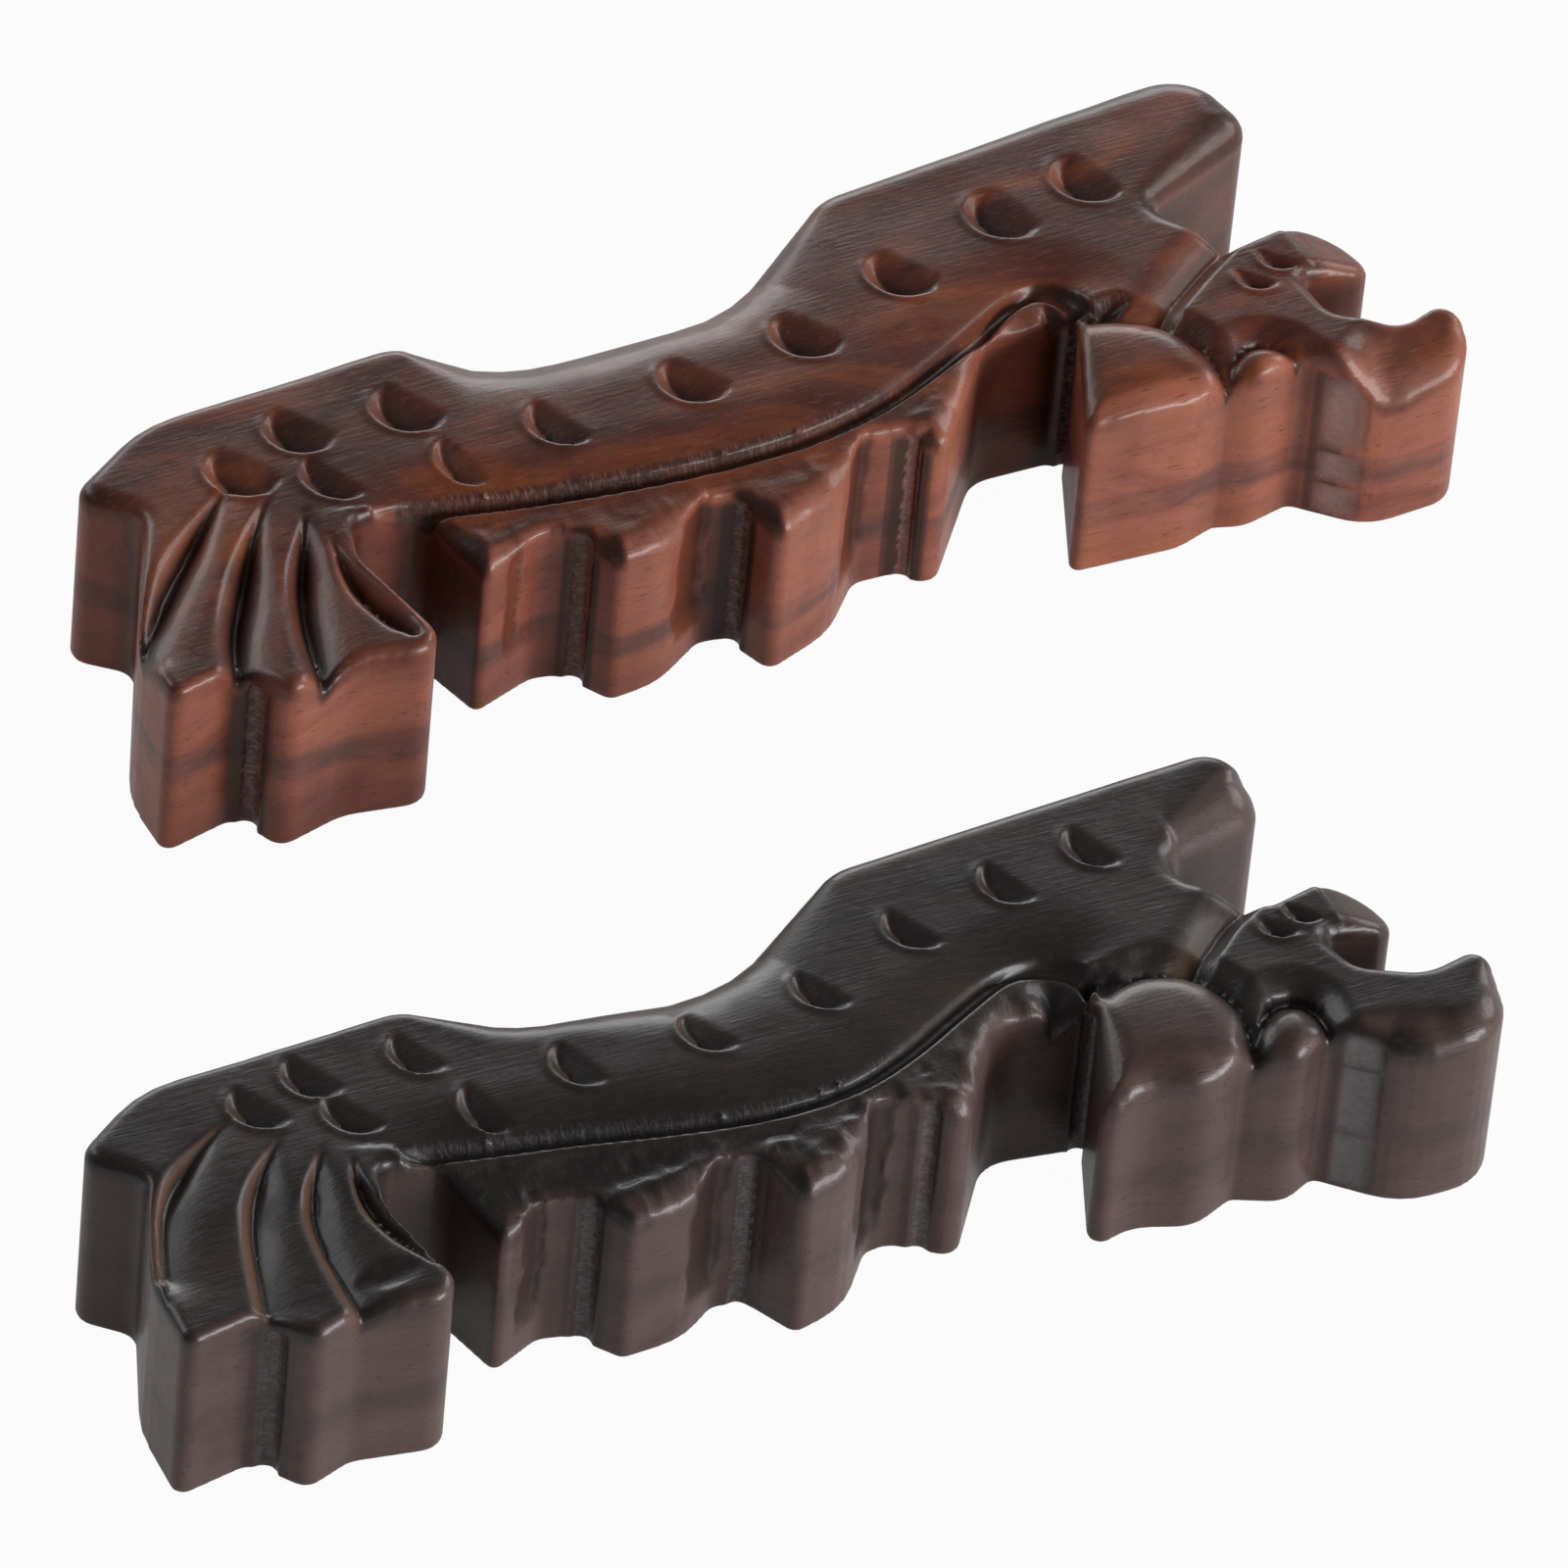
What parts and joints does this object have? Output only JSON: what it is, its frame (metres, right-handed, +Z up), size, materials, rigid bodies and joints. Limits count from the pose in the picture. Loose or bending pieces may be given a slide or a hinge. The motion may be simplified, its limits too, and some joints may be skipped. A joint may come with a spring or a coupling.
{
  "type": "brush rest",
  "caption": "Pair of small carved wooden brush rests shaped as crouching dragons, with a dipped back that writing brushes lie across; one in rosewood, one in ebony.",
  "frame": {"origin": "middle of the pair's footprint, on the surface that both racks lie on", "axes": "+X from the tail fans to the heads, +Y from the standing edges to the backs, +Z up out of the carved faces"},
  "size_m": [0.1608, 0.1216, 0.0185],
  "materials": {
    "rosewood": "waxed gloss over red-brown grain",
    "ebony": "waxed satin, near black"
  },
  "bodies": {
    "root": {"rosewood_rack": "rosewood", "ebony_rack": "ebony"}
  },
  "joints": []
}
